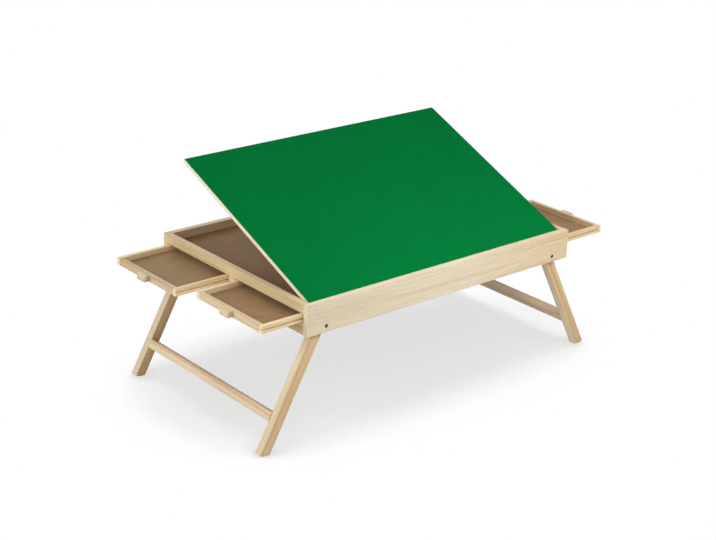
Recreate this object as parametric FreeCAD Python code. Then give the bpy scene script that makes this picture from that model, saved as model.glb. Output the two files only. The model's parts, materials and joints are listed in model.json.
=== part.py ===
import FreeCAD, Part
import math
import os

os.makedirs("parts", exist_ok=True)

# Jigsaw puzzle table: a shallow wooden tray frame on two folding leg frames, four flat drawers that
# open at the two ends, and a felted board that tilts up about its front edge on a prop inside the tray.
# Frame of the model: origin on the floor under the table's centre, +X along the long side to the
# right, -Y towards the person who sits at it, +Z up. Millimetres. Rest pose: legs open, board raised,
# three of the drawers pulled partly out.

# ---- table frame ----
LENGTH = 780.0              # outside, along X
DEPTH = 528.0               # outside, along Y
FRAME_HEIGHT = 70.0         # height of the two aprons
STOCK = 15.0                # thickness of aprons and rails
EDGE_EASE = 1.0             # small chamfer on handled wooden edges
BOTTOM_RAIL_HEIGHT = 29.0   # rail under the drawer mouths
TOP_RAIL_BOTTOM = 47.5      # underside of the end top rails, above the frame's underside
POST_WIDTH = 26.0           # post between two drawer mouths
TRAY_FLOOR_THICK = 3.0
TRAY_FLOOR_TOP = 50.0       # above the frame's underside
GROOVE_DEPTH = 4.0          # panel grooves in aprons, rails and drawer boards
PANEL_PLAY = 0.15           # clearance round a thin panel in its groove

# ---- legs ----
PIVOT_HEIGHT = 266.0        # leg bolt above the floor
PIVOT_ABOVE_EDGE = 14.0     # leg bolt above the frame's lower edge
PIVOT_INSET = 50.0          # leg bolt from the end of the frame
SPLAY_DEG = 28.4            # lean of the opened legs
LEG_WIDTH = 25.0
LEG_THICK = 20.0
LEG_EASE = 1.6              # chamfer round both faces of a leg
FOOT_FLAT = 10.0            # level part of a foot, at its inner edge
FOOT_ROUND_R = 30.0         # rise of the foot from there to the leg's outer face
WASHER_THICK = 1.0          # washer that keeps a leg off the apron
BOLT_R = 2.5
BOLT_PLAY = 0.05            # running clearance of a leg on its bolt
BOLT_HEAD_R = 4.2
BOLT_HEAD_THICK = 3.6
SOCKET_R = 1.8              # hexagon socket of the bolt head, over its corners
SOCKET_DEPTH = 2.0
COUNTERBORE_R = 4.5
COUNTERBORE_DEPTH = 4.0
NUT_R = 4.6                 # over the corners
NUT_THICK = 4.0
NUT_GAP = 0.3               # between a nut and the turning piece it holds
SHANK_PROUD = 1.5           # end of a bolt or rod past its nut
BOLT_HOLE_PLAY = 0.1        # round a bolt in the apron
STRETCHER_ALONG_LEG = 212.0  # bolt to the upper edge of the stretcher
STRETCHER_WIDTH = 20.0
STRETCHER_THICK = 20.0
TENON_WIDTH = 8.0
TENON_HEIGHT = 14.0
TENON_LENGTH = 10.0
STOP_HEIGHT = 14.0          # bevelled batten that an opened leg leans on
STOP_GAP = 0.1

# ---- drawers ----
DRAWER_WIDTH = 232.0
DRAWER_LENGTH = 380.0
DRAWER_BOTTOM = 29.6        # above the frame's underside
DRAWER_HEIGHT = 16.9
DRAWER_STOCK = 10.0
DRAWER_EASE = 0.7
DRAWER_SIDE_GAP = 2.0       # between a drawer and the apron
DRAWER_PANEL_THICK = 3.0
DRAWER_PANEL_LIFT = 2.0
RUNNER_LINE = 38.0          # middle of the runner grooves above the frame's underside
RUNNER_GROOVE = 4.0
RUNNER_HEIGHT = 3.4
RUNNER_END_PLAY = 0.4
HANDLE_LENGTH = 32.0
HANDLE_OUT = 13.0
HANDLE_HEIGHT = 14.5
HANDLE_LIFT = 2.0           # above the drawer's underside
HANDLE_ROUND = 4.5          # upper outer edge
HANDLE_EASE = 1.2           # rims of its two end faces
PULL_BACK_LEFT = 135.5      # how far each drawer stands open at rest
PULL_FRONT_LEFT = 103.0
PULL_FRONT_RIGHT = 135.5
PULL_BACK_RIGHT = 0.0
DIVIDER_THICK = 22.0
DIVIDER_BOTTOM = 26.0
DRAWER_STOP_GAP = 0.3

# ---- tilting board ----
TILT_DEG = 23.0             # rest angle
HINGE_Y = 19.3              # hinge line behind the front apron's face
HINGE_LINE = 56.3           # hinge line above the frame's underside
BARREL_R = 2.2
BARREL_CLEAR = 0.5          # round the barrels in the ledge and in the leaves
KNUCKLE_GAP = 0.4           # between neighbouring knuckles
HINGE_PIN_R = 1.1
LEAF_THICK = 1.0
LEAF_LIFT = 0.1             # each leaf off the hinge line with the board down
LEAF_LENGTH = 50.0
LEAF_DEPTH = 16.0
HINGE_PLACES = (-290.0, 0.0, 290.0)
BOARD_LENGTH = 746.0
BOARD_FRONT = 22.0          # front edge of the flat board, from the front apron's face
BOARD_DEPTH = 489.0
BATTEN_THICK = 5.2
BATTEN_WIDTH = 30.0
PANEL_THICK = 4.0
FELT_THICK = 0.8
LEDGE_TOP = 55.2
LEDGE_WIDTH = 20.0
BACK_LEDGE_TOP = 57.2
BACK_LEDGE_LENGTH = 360.0

# ---- prop under the board ----
PROP_PIVOT_BACK = 250.0     # hinge line to the prop's pivot along the flat board
PROP_LINE = 56.2            # pivot height above the frame's underside with the board flat
PROP_LENGTH = 185.2
PROP_RATIO = 1.4            # prop turn for one degree of board tilt
PROP_ARM_X = 183.0
PROP_ARM_WIDTH = 14.0
PROP_ARM_THICK = 8.0
PROP_PIN_R = 2.5
CROSS_BAR_WIDTH = 22.0
CROSS_BAR_FROM_FOOT = 45.0  # foot rod to the bar's upper edge, along the arms
FOOT_ROD_R = 2.5
PIN_PLAY = 0.05
PIN_PROUD = 0.8             # end of a pivot pin past its bracket
BRACKET_PLATE = 1.2
BRACKET_HALF_DEPTH = 8.0
BRACKET_WING = 10.0         # plate on each side of the ears, for its screws
EAR_THICK = 1.5
EAR_GAP = 0.4               # between an ear and the prop's arm
EAR_ROOT = 7.0              # half width of an ear at the plate
EAR_TIP = 2.2               # half width of an ear at its lower end
GUIDE_X = 205.5
GUIDE_THICK = 3.0
GUIDE_TOP = 61.4
GUIDE_FLANGE = 12.0         # width of the flange on the tray floor
GUIDE_FLANGE_THICK = 1.2
GUIDE_FROM = 378.0          # along the tray, from the front apron's face
GUIDE_TO = 465.0
SLOT_FROM = 384.4
SLOT_TO = 458.6
SLOT_LOW = 51.7
SLOT_HIGH = 59.0
THUMB_NUT_R = 4.0
THUMB_NUT_THICK = 7.0

# ---- places that follow from them ----
X_END = LENGTH / 2.0
Y_FRONT = -DEPTH / 2.0
Z_EDGE = PIVOT_HEIGHT - PIVOT_ABOVE_EDGE        # the frame's underside
SPLAY = math.radians(SPLAY_DEG)
TILT = math.radians(TILT_DEG)
PIVOT_X = X_END - PIVOT_INSET
LEG_REACH = PIVOT_HEIGHT / math.cos(SPLAY)
LEG_Y = STOCK + WASHER_THICK                    # leg's outer face behind the apron's outer face
HINGE = FreeCAD.Vector(0, Y_FRONT + HINGE_Y, Z_EDGE + HINGE_LINE)


def save(shape, name):
    shape.exportStep("parts/" + name + ".step")


def block(x0, x1, y0, y1, z0, z1):
    return Part.makeBox(x1 - x0, y1 - y0, z1 - z0, FreeCAD.Vector(x0, y0, z0))


def frame_block(x0, x1, y0, y1, z0, z1):
    """Block with Y from the front apron's face and Z from the frame's underside."""
    return block(x0, x1, Y_FRONT + y0, Y_FRONT + y1, Z_EDGE + z0, Z_EDGE + z1)


def rod(radius, start, end):
    a = FreeCAD.Vector(*start)
    b = FreeCAD.Vector(*end)
    return Part.makeCylinder(radius, (b - a).Length, a, b - a)


def prism(points, along):
    """Solid swept from a closed outline of (x, y, z) points by a vector."""
    wire = Part.makePolygon([FreeCAD.Vector(*p) for p in points + points[:1]])
    return Part.Face(wire).extrude(FreeCAD.Vector(*along))


def eased(shape, size=EDGE_EASE, min_length=100.0):
    """Chamfer the long straight edges of a wooden piece."""
    edges = [e for e in shape.Edges if e.Length >= min_length and e.Curve.TypeId == "Part::GeomLine"]
    return shape.makeChamfer(size, edges)


def mirror_x(shape):
    return shape.mirror(FreeCAD.Vector(0, 0, 0), FreeCAD.Vector(1, 0, 0))


def both_ends(shape):
    return Part.makeCompound([shape, mirror_x(shape)])


def mirror_y(shape):
    return shape.mirror(FreeCAD.Vector(0, 0, 0), FreeCAD.Vector(0, 1, 0))


def tilted(shape):
    """Turn a piece of the flat board up to its rest angle about the hinge line."""
    turned = shape.copy()
    turned.rotate(HINGE, FreeCAD.Vector(1, 0, 0), TILT_DEG)
    return turned


# ---- aprons, rails and tray floor ----

def front_apron():
    """Full-length front board with the floor groove and two counterbored bolt holes."""
    board = eased(frame_block(-X_END, X_END, 0, STOCK, 0, FRAME_HEIGHT))
    groove = frame_block(-X_END + STOCK - GROOVE_DEPTH, X_END - STOCK + GROOVE_DEPTH,
                         STOCK - GROOVE_DEPTH, STOCK,
                         TRAY_FLOOR_TOP - TRAY_FLOOR_THICK - PANEL_PLAY, TRAY_FLOOR_TOP + PANEL_PLAY)
    board = board.cut(groove)
    for x in (-PIVOT_X, PIVOT_X):
        board = board.cut(rod(BOLT_R + BOLT_HOLE_PLAY, (x, Y_FRONT - 1, PIVOT_HEIGHT),
                              (x, Y_FRONT + STOCK + 1, PIVOT_HEIGHT)))
        board = board.cut(rod(COUNTERBORE_R, (x, Y_FRONT - 1, PIVOT_HEIGHT),
                              (x, Y_FRONT + COUNTERBORE_DEPTH, PIVOT_HEIGHT)))
    return board


def left_top_rail():
    """End rail over the drawer mouths; the tray floor lies in a rebate along its inner lower edge."""
    rail = eased(frame_block(-X_END, -X_END + STOCK, STOCK, DEPTH - STOCK, TOP_RAIL_BOTTOM, FRAME_HEIGHT))
    rebate = frame_block(-X_END + STOCK - GROOVE_DEPTH, -X_END + STOCK, STOCK, DEPTH - STOCK,
                         TOP_RAIL_BOTTOM - 1, TRAY_FLOOR_TOP + PANEL_PLAY)
    return rail.cut(rebate)


def left_bottom_rail():
    return eased(frame_block(-X_END, -X_END + STOCK, STOCK, DEPTH - STOCK, 0, BOTTOM_RAIL_HEIGHT))


def left_centre_post():
    """Post between the two drawer mouths, notched for the edge of the tray floor."""
    y0 = DEPTH / 2.0 - POST_WIDTH / 2.0
    y1 = DEPTH / 2.0 + POST_WIDTH / 2.0
    post = frame_block(-X_END, -X_END + STOCK, y0, y1, BOTTOM_RAIL_HEIGHT, TOP_RAIL_BOTTOM)
    return post.cut(frame_block(-X_END + STOCK - GROOVE_DEPTH, -X_END + STOCK, y0, y1,
                                TRAY_FLOOR_TOP - TRAY_FLOOR_THICK, TOP_RAIL_BOTTOM))


def tray_floor():
    """Hardboard sheet let into the aprons' grooves and the end rails' rebates."""
    into = GROOVE_DEPTH - PANEL_PLAY
    return frame_block(-X_END + STOCK - into, X_END - STOCK + into, STOCK - into, DEPTH - STOCK + into,
                       TRAY_FLOOR_TOP - TRAY_FLOOR_THICK, TRAY_FLOOR_TOP)


def centre_divider():
    """Beam under the tray floor, from end to end between the drawers."""
    middle = DEPTH / 2.0
    return frame_block(-X_END + STOCK, X_END - STOCK, middle - DIVIDER_THICK / 2.0,
                       middle + DIVIDER_THICK / 2.0, DIVIDER_BOTTOM, TRAY_FLOOR_TOP - TRAY_FLOOR_THICK)


def drawer_runners():
    """Four strips that the drawers' grooves slide on, two at the aprons and two at the divider."""
    low = RUNNER_LINE - RUNNER_HEIGHT / 2.0
    drawer_near = STOCK + DRAWER_SIDE_GAP
    apron_tip = drawer_near + RUNNER_GROOVE - RUNNER_END_PLAY
    divider_tip = drawer_near + DRAWER_WIDTH - RUNNER_GROOVE + RUNNER_END_PLAY
    divider_face = DEPTH / 2.0 - DIVIDER_THICK / 2.0
    strips = []
    for y0, y1 in ((STOCK, apron_tip), (divider_tip, divider_face)):
        strip = frame_block(-X_END + STOCK, X_END - STOCK, y0, y1, low, low + RUNNER_HEIGHT)
        strips += [strip, mirror_y(strip)]
    return Part.makeCompound(strips)


def drawer_stops():
    """Two battens that the pushed-in drawers meet, one each side of the divider."""
    half = LENGTH / 2.0 - DRAWER_LENGTH - DRAWER_STOP_GAP
    y0 = STOCK + DRAWER_SIDE_GAP
    front = frame_block(-half, half, y0 + RUNNER_GROOVE, y0 + DRAWER_WIDTH - RUNNER_GROOVE,
                        DRAWER_BOTTOM, TRAY_FLOOR_TOP - TRAY_FLOOR_THICK)
    return Part.makeCompound([front, mirror_y(front)])


def left_leg_stop():
    """Batten behind the bottom rail, bevelled to the slope of the opened legs."""
    face_x = -PIVOT_X - (LEG_WIDTH / 2.0 + STOP_GAP) / math.cos(SPLAY)   # outer leg face at bolt height
    slope = math.tan(SPLAY)
    low_x = face_x - PIVOT_ABOVE_EDGE * slope
    high_x = face_x - (PIVOT_ABOVE_EDGE - STOP_HEIGHT) * slope
    back_x = -X_END + STOCK
    y0 = Y_FRONT + STOCK
    outline = [(back_x, y0, Z_EDGE), (low_x, y0, Z_EDGE),
               (high_x, y0, Z_EDGE + STOP_HEIGHT), (back_x, y0, Z_EDGE + STOP_HEIGHT)]
    return prism(outline, (0, DEPTH - 2 * STOCK, 0))


# ---- leg bolts ----

def hexagon(radius, x, y, z, depth):
    """Hexagonal prism along Y."""
    corners = []
    for k in range(6):
        angle = math.radians(60 * k)
        corners.append((x + radius * math.cos(angle), y, z + radius * math.sin(angle)))
    return prism(corners, (0, depth, 0))


def leg_bolt(x):
    """Socket-head furniture bolt through the front apron and the leg."""
    head_y = Y_FRONT + COUNTERBORE_DEPTH - BOLT_HEAD_THICK
    shank_end = Y_FRONT + LEG_Y + LEG_THICK + NUT_GAP + NUT_THICK + SHANK_PROUD
    head = rod(BOLT_HEAD_R, (x, head_y, PIVOT_HEIGHT), (x, head_y + BOLT_HEAD_THICK, PIVOT_HEIGHT))
    shank = rod(BOLT_R, (x, head_y + BOLT_HEAD_THICK, PIVOT_HEIGHT), (x, shank_end, PIVOT_HEIGHT))
    socket = hexagon(SOCKET_R, x, head_y - 1, PIVOT_HEIGHT, SOCKET_DEPTH + 1)
    return head.fuse(shank).cut(socket).removeSplitter()


def leg_nut(x):
    y = Y_FRONT + LEG_Y + LEG_THICK + NUT_GAP
    nut = hexagon(NUT_R, x, y, PIVOT_HEIGHT, NUT_THICK)
    return nut.cut(rod(BOLT_R, (x, y - 1, PIVOT_HEIGHT), (x, y + NUT_THICK + 1, PIVOT_HEIGHT)))


def four(make):
    """The same fastener at the four leg pivots."""
    front = [make(-PIVOT_X), make(PIVOT_X)]
    return Part.makeCompound(front + [mirror_y(piece) for piece in front])


# ---- leg frames ----

def tenon(x, y0, y1, z):
    """Tenon of a stretcher, and the cutter for its mortise in the leg."""
    return block(x - TENON_WIDTH / 2.0, x + TENON_WIDTH / 2.0, y0, y1,
                 z - TENON_HEIGHT / 2.0, z + TENON_HEIGHT / 2.0)


def foot_waste(y0):
    """Corner below the round of a left foot, from its level part to the leg's outer face."""
    inner_x = -PIVOT_X - PIVOT_HEIGHT * math.tan(SPLAY) + LEG_WIDTH / 2.0 / math.cos(SPLAY)
    round_x = inner_x - FOOT_FLAT
    corner = block(round_x - LEG_WIDTH, round_x, y0 - 1, y0 + LEG_THICK + 1, 0, FOOT_ROUND_R)
    return corner.cut(rod(FOOT_ROUND_R, (round_x, y0 - 2, FOOT_ROUND_R),
                          (round_x, y0 + LEG_THICK + 2, FOOT_ROUND_R)))


def left_front_leg():
    """Leg with a round top on the bolt; its foot stands level on the inner part and is rounded outwards."""
    half = LEG_WIDTH / 2.0
    y0 = Y_FRONT + LEG_Y
    low = PIVOT_HEIGHT - LEG_REACH - LEG_WIDTH
    left_low = FreeCAD.Vector(-PIVOT_X - half, y0, low)
    left_high = FreeCAD.Vector(-PIVOT_X - half, y0, PIVOT_HEIGHT)
    crown = FreeCAD.Vector(-PIVOT_X, y0, PIVOT_HEIGHT + half)
    right_high = FreeCAD.Vector(-PIVOT_X + half, y0, PIVOT_HEIGHT)
    right_low = FreeCAD.Vector(-PIVOT_X + half, y0, low)
    outline = Part.Wire([Part.LineSegment(left_low, left_high).toShape(),
                         Part.Arc(left_high, crown, right_high).toShape(),
                         Part.LineSegment(right_high, right_low).toShape(),
                         Part.LineSegment(right_low, left_low).toShape()])
    leg = Part.Face(outline).extrude(FreeCAD.Vector(0, LEG_THICK, 0))
    rims = [e for e in leg.Edges if e.BoundBox.YLength < 0.01 and e.BoundBox.ZMax > low + 1.0]
    leg = leg.makeChamfer(LEG_EASE, rims)
    leg = leg.cut(rod(BOLT_R + BOLT_PLAY, (-PIVOT_X, y0 - 1, PIVOT_HEIGHT),
                      (-PIVOT_X, y0 + LEG_THICK + 1, PIVOT_HEIGHT)))
    socket_x = -PIVOT_X - half + STRETCHER_THICK / 2.0
    socket_z = PIVOT_HEIGHT - STRETCHER_ALONG_LEG - STRETCHER_WIDTH / 2.0
    leg = leg.cut(tenon(socket_x, y0 + LEG_THICK - TENON_LENGTH, y0 + LEG_THICK, socket_z))
    leg.rotate(FreeCAD.Vector(-PIVOT_X, 0, PIVOT_HEIGHT), FreeCAD.Vector(0, 1, 0), SPLAY_DEG)
    leg = leg.cut(block(-X_END - LEG_REACH, 0, y0 - 1, y0 + LEG_THICK + 1, -2 * LEG_WIDTH, 0))
    return leg.cut(foot_waste(y0))


def left_stretcher():
    """Bar between two legs, level with their outer edges, with a tenon at each end."""
    inner = Y_FRONT + LEG_Y + LEG_THICK
    top = PIVOT_HEIGHT - STRETCHER_ALONG_LEG
    x0 = -PIVOT_X - LEG_WIDTH / 2.0
    bar = eased(block(x0, x0 + STRETCHER_THICK, inner, -inner, top - STRETCHER_WIDTH, top))
    front = tenon(x0 + STRETCHER_THICK / 2.0, inner - TENON_LENGTH, inner, top - STRETCHER_WIDTH / 2.0)
    bar = bar.fuse([front, mirror_y(front)])
    bar.rotate(FreeCAD.Vector(-PIVOT_X, 0, PIVOT_HEIGHT), FreeCAD.Vector(0, 1, 0), SPLAY_DEG)
    return bar


# ---- drawers ----

def drawer_handle(root_x, middle_y, low):
    """Wooden pull with a well rounded upper outer edge, on the middle of the drawer's front."""
    tip_x = root_x - HANDLE_OUT
    y = Y_FRONT + middle_y - HANDLE_LENGTH / 2.0
    bottom = Z_EDGE + low
    top = bottom + HANDLE_HEIGHT
    bend = HANDLE_ROUND * (1.0 - math.sqrt(0.5))
    root_low = FreeCAD.Vector(root_x, y, bottom)
    tip_low = FreeCAD.Vector(tip_x, y, bottom)
    tip_high = FreeCAD.Vector(tip_x, y, top - HANDLE_ROUND)
    crest = FreeCAD.Vector(tip_x + bend, y, top - bend)
    shoulder = FreeCAD.Vector(tip_x + HANDLE_ROUND, y, top)
    root_high = FreeCAD.Vector(root_x, y, top)
    outline = Part.Wire([Part.LineSegment(root_low, tip_low).toShape(),
                         Part.LineSegment(tip_low, tip_high).toShape(),
                         Part.Arc(tip_high, crest, shoulder).toShape(),
                         Part.LineSegment(shoulder, root_high).toShape(),
                         Part.LineSegment(root_high, root_low).toShape()])
    handle = Part.Face(outline).extrude(FreeCAD.Vector(0, HANDLE_LENGTH, 0))
    rims = [e for e in handle.Edges if e.BoundBox.YLength < 0.01 and e.BoundBox.XMin < root_x - 0.1]
    return handle.makeChamfer(HANDLE_EASE, rims)


def drawer_pieces():
    """The front-left drawer, pushed in: sides with runner grooves, front, back, bottom, handle."""
    x0 = -X_END
    x1 = x0 + DRAWER_LENGTH
    y0 = STOCK + DRAWER_SIDE_GAP
    y1 = y0 + DRAWER_WIDTH
    z0 = DRAWER_BOTTOM
    z1 = z0 + DRAWER_HEIGHT
    groove_low = RUNNER_LINE - RUNNER_GROOVE / 2.0
    panel_low = z0 + DRAWER_PANEL_LIFT
    panel_slot = frame_block(x0 + DRAWER_STOCK - GROOVE_DEPTH, x1 - DRAWER_STOCK + GROOVE_DEPTH,
                             y0 + DRAWER_STOCK - GROOVE_DEPTH, y1 - DRAWER_STOCK + GROOVE_DEPTH,
                             panel_low, panel_low + DRAWER_PANEL_THICK + PANEL_PLAY)
    sides = []
    for board_y, groove_y in ((y0, y0 - 1), (y1 - DRAWER_STOCK, y1 - RUNNER_GROOVE)):
        side = eased(frame_block(x0, x1, board_y, board_y + DRAWER_STOCK, z0, z1), DRAWER_EASE)
        groove = frame_block(x0 - 1, x1 + 1, groove_y, groove_y + RUNNER_GROOVE + 1,
                             groove_low, groove_low + RUNNER_GROOVE)
        sides.append(side.cut(groove).cut(panel_slot))
    ends = []
    for board_x in (x0, x1 - DRAWER_STOCK):
        end = frame_block(board_x, board_x + DRAWER_STOCK, y0 + DRAWER_STOCK, y1 - DRAWER_STOCK, z0, z1)
        ends.append(eased(end, DRAWER_EASE).cut(panel_slot))
    into = GROOVE_DEPTH - PANEL_PLAY
    bottom = frame_block(x0 + DRAWER_STOCK - into, x1 - DRAWER_STOCK + into,
                         y0 + DRAWER_STOCK - into, y1 - DRAWER_STOCK + into,
                         panel_low, panel_low + DRAWER_PANEL_THICK)
    return {"sides": Part.makeCompound(sides), "front": ends[0], "back": ends[1],
            "bottom": bottom, "handle": drawer_handle(x0, y0 + DRAWER_WIDTH / 2.0, z0 + HANDLE_LIFT)}


def place_drawer(piece, right, back, pull):
    """Mirror the front-left drawer to its corner and pull it out."""
    placed = mirror_x(piece) if right else piece.copy()
    placed = mirror_y(placed) if back else placed
    placed.translate(FreeCAD.Vector(pull if right else -pull, 0, 0))
    return placed


# ---- board ----

def board_block(x0, x1, y0, y1, z0, z1):
    """Piece of the tilted board: Y from its front edge, Z above its underside."""
    base = HINGE_LINE + LEAF_THICK + LEAF_LIFT
    return tilted(frame_block(x0, x1, BOARD_FRONT + y0, BOARD_FRONT + y1, base + z0, base + z1))


def board_sheet(low, thick):
    """Full-size layer of the board."""
    return board_block(-BOARD_LENGTH / 2.0, BOARD_LENGTH / 2.0, 0, BOARD_DEPTH, low, low + thick)


def board_long_batten(y0):
    return board_block(-BOARD_LENGTH / 2.0, BOARD_LENGTH / 2.0, y0, y0 + BATTEN_WIDTH, 0, BATTEN_THICK)


def board_left_batten():
    x0 = -BOARD_LENGTH / 2.0
    return board_block(x0, x0 + BATTEN_WIDTH, BATTEN_WIDTH, BOARD_DEPTH - BATTEN_WIDTH, 0, BATTEN_THICK)


def knuckle_spans(x, side):
    """Barrel pieces of a hinge along X: two outer ones on the lower leaf, the middle one on the upper."""
    half = LEAF_LENGTH / 2.0
    inner = LEAF_LENGTH / 6.0
    if side == "lower":
        spans = [(x - half, x - inner - KNUCKLE_GAP / 2.0), (x + inner + KNUCKLE_GAP / 2.0, x + half)]
    else:
        spans = [(x - inner + KNUCKLE_GAP / 2.0, x + inner - KNUCKLE_GAP / 2.0)]
    return spans


def on_hinge_line(radius, x0, x1):
    return rod(radius, (x0, HINGE.y, HINGE.z), (x1, HINGE.y, HINGE.z))


def hinge_leaf(x, side):
    """Leaf of a butt hinge with its knuckles, lying flat behind the barrel."""
    z0 = HINGE_LINE + LEAF_LIFT if side == "upper" else HINGE_LINE - LEAF_LIFT - LEAF_THICK
    plate_y = HINGE_Y + BARREL_R + BARREL_CLEAR
    knuckles = []
    for a, b in knuckle_spans(x, side):
        knuckles.append(on_hinge_line(BARREL_R, a, b))
        knuckles.append(frame_block(a, b, HINGE_Y, plate_y, z0, z0 + LEAF_THICK))
    plate = frame_block(x - LEAF_LENGTH / 2.0, x + LEAF_LENGTH / 2.0, plate_y, HINGE_Y + LEAF_DEPTH,
                        z0, z0 + LEAF_THICK)
    bore = HINGE_PIN_R + PIN_PLAY if side == "upper" else HINGE_PIN_R
    leaf = plate.fuse(knuckles).cut(on_hinge_line(bore, x - LEAF_LENGTH, x + LEAF_LENGTH))
    return leaf.removeSplitter()


def hinge_pin(x):
    return on_hinge_line(HINGE_PIN_R, x - LEAF_LENGTH / 2.0, x + LEAF_LENGTH / 2.0)


def front_ledge():
    """Batten on the tray floor along the front apron that carries the board's hinges."""
    step_y = HINGE_Y + BARREL_R + BARREL_CLEAR
    step_z = HINGE_LINE - BARREL_R - BARREL_CLEAR
    x0 = -X_END + STOCK
    outline = []
    for y, z in [(STOCK, TRAY_FLOOR_TOP), (STOCK + LEDGE_WIDTH, TRAY_FLOOR_TOP),
                 (STOCK + LEDGE_WIDTH, LEDGE_TOP), (step_y, LEDGE_TOP), (step_y, step_z), (STOCK, step_z)]:
        outline.append((x0, Y_FRONT + y, Z_EDGE + z))
    return prism(outline, (LENGTH - 2 * STOCK, 0, 0))


def back_ledge():
    """Short batten at the middle of the back apron that the lowered board rests on."""
    half = BACK_LEDGE_LENGTH / 2.0
    back = DEPTH - STOCK
    return frame_block(-half, half, back - LEDGE_WIDTH, back, TRAY_FLOOR_TOP, BACK_LEDGE_TOP)


# ---- prop ----

def prop_pivot():
    """Prop pivot at rest, on the raised board."""
    flat = FreeCAD.Vector(0, Y_FRONT + HINGE_Y + PROP_PIVOT_BACK, Z_EDGE + PROP_LINE)
    return HINGE + FreeCAD.Rotation(FreeCAD.Vector(1, 0, 0), TILT_DEG).multVec(flat - HINGE)


PROP_PIVOT = prop_pivot()
PROP_LEAN_DEG = PROP_RATIO * TILT_DEG           # slope of the prop below level at rest
FOOT = PROP_PIVOT + FreeCAD.Vector(0, PROP_LENGTH * math.cos(math.radians(PROP_LEAN_DEG)),
                                   -PROP_LENGTH * math.sin(math.radians(PROP_LEAN_DEG)))


def leaning(shape):
    """Turn a piece drawn along +Y from the prop's pivot to the prop's rest slope."""
    turned = shape.copy()
    turned.rotate(PROP_PIVOT, FreeCAD.Vector(1, 0, 0), -PROP_LEAN_DEG)
    return turned


def prop_arm(x):
    """Wooden arm with round ends, bored for its pivot pin and the foot rod."""
    half = PROP_ARM_THICK / 2.0
    y0 = PROP_PIVOT.y
    y1 = y0 + PROP_LENGTH
    z = PROP_PIVOT.z
    x0 = x - PROP_ARM_WIDTH / 2.0
    x1 = x + PROP_ARM_WIDTH / 2.0
    arm = block(x0, x1, y0, y1, z - half, z + half)
    for y in (y0, y1):
        arm = arm.fuse(rod(half, (x0, y, z), (x1, y, z)))
    arm = arm.cut(rod(PROP_PIN_R + PIN_PLAY, (x0 - 1, y0, z), (x1 + 1, y0, z)))
    arm = arm.cut(rod(FOOT_ROD_R, (x0 - 1, y1, z), (x1 + 1, y1, z)))
    return leaning(arm.removeSplitter())


def prop_cross_bar():
    half = PROP_ARM_THICK / 2.0
    y = PROP_PIVOT.y + PROP_LENGTH - CROSS_BAR_FROM_FOOT
    inner = PROP_ARM_X - PROP_ARM_WIDTH / 2.0
    bar = block(-inner, inner, y, y + CROSS_BAR_WIDTH, PROP_PIVOT.z - half, PROP_PIVOT.z + half)
    return leaning(eased(bar))


def prop_foot_rod():
    reach = GUIDE_X + GUIDE_THICK / 2.0 + NUT_GAP + THUMB_NUT_THICK + SHANK_PROUD
    return rod(FOOT_ROD_R, (-reach, FOOT.y, FOOT.z), (reach, FOOT.y, FOOT.z))


def thumb_nut(x):
    """Nut on the end of the foot rod that clamps it in the guide's slot."""
    start = x + GUIDE_THICK / 2.0 + NUT_GAP
    end = start + THUMB_NUT_THICK
    nut = rod(THUMB_NUT_R, (start, FOOT.y, FOOT.z), (end, FOOT.y, FOOT.z))
    return nut.cut(rod(FOOT_ROD_R, (start - 1, FOOT.y, FOOT.z), (end + 1, FOOT.y, FOOT.z)))


def prop_bracket(x):
    """Steel clevis under the panel: a base plate with an ear each side of the arm."""
    inner = PROP_ARM_WIDTH / 2.0 + EAR_GAP
    y = Y_FRONT + HINGE_Y + PROP_PIVOT_BACK
    z = Z_EDGE + PROP_LINE
    top = Z_EDGE + HINGE_LINE + LEAF_THICK + LEAF_LIFT + BATTEN_THICK
    reach = inner + BRACKET_WING
    plate = block(x - reach, x + reach, y - BRACKET_HALF_DEPTH, y + BRACKET_HALF_DEPTH,
                  top - BRACKET_PLATE, top)
    tip = z - PROP_PIN_R - EAR_THICK
    ears = []
    for a in (x - inner - EAR_THICK, x + inner):
        outline = [(a, y - EAR_ROOT, top - BRACKET_PLATE), (a, y - EAR_TIP, tip),
                   (a, y + EAR_TIP, tip), (a, y + EAR_ROOT, top - BRACKET_PLATE)]
        ear = prism(outline, (EAR_THICK, 0, 0))
        ears.append(ear.cut(rod(PROP_PIN_R, (a - 1, y, z), (a + EAR_THICK + 1, y, z))))
    return tilted(plate.fuse(ears).removeSplitter())


def prop_pin(x):
    reach = PROP_ARM_WIDTH / 2.0 + EAR_GAP + EAR_THICK + PIN_PROUD
    return rod(PROP_PIN_R, (x - reach, PROP_PIVOT.y, PROP_PIVOT.z), (x + reach, PROP_PIVOT.y, PROP_PIVOT.z))


def prop_guide():
    """Steel angle fixed to the tray floor; the foot rod runs in the slot of its upright web."""
    x0 = GUIDE_X - GUIDE_THICK / 2.0
    x1 = GUIDE_X + GUIDE_THICK / 2.0
    web = frame_block(x0, x1, GUIDE_FROM, GUIDE_TO, TRAY_FLOOR_TOP, GUIDE_TOP)
    flange = frame_block(x0 - GUIDE_FLANGE, x0, GUIDE_FROM, GUIDE_TO, TRAY_FLOOR_TOP,
                         TRAY_FLOOR_TOP + GUIDE_FLANGE_THICK)
    guide = web.fuse(flange)
    radius = (SLOT_HIGH - SLOT_LOW) / 2.0
    middle = (SLOT_HIGH + SLOT_LOW) / 2.0
    slot = frame_block(x0 - 1, x1 + 1, SLOT_FROM + radius, SLOT_TO - radius, SLOT_LOW, SLOT_HIGH)
    for y in (SLOT_FROM + radius, SLOT_TO - radius):
        slot = slot.fuse(rod(radius, (x0 - 1, Y_FRONT + y, Z_EDGE + middle),
                             (x1 + 1, Y_FRONT + y, Z_EDGE + middle)))
    return guide.cut(slot.removeSplitter()).removeSplitter()


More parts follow.
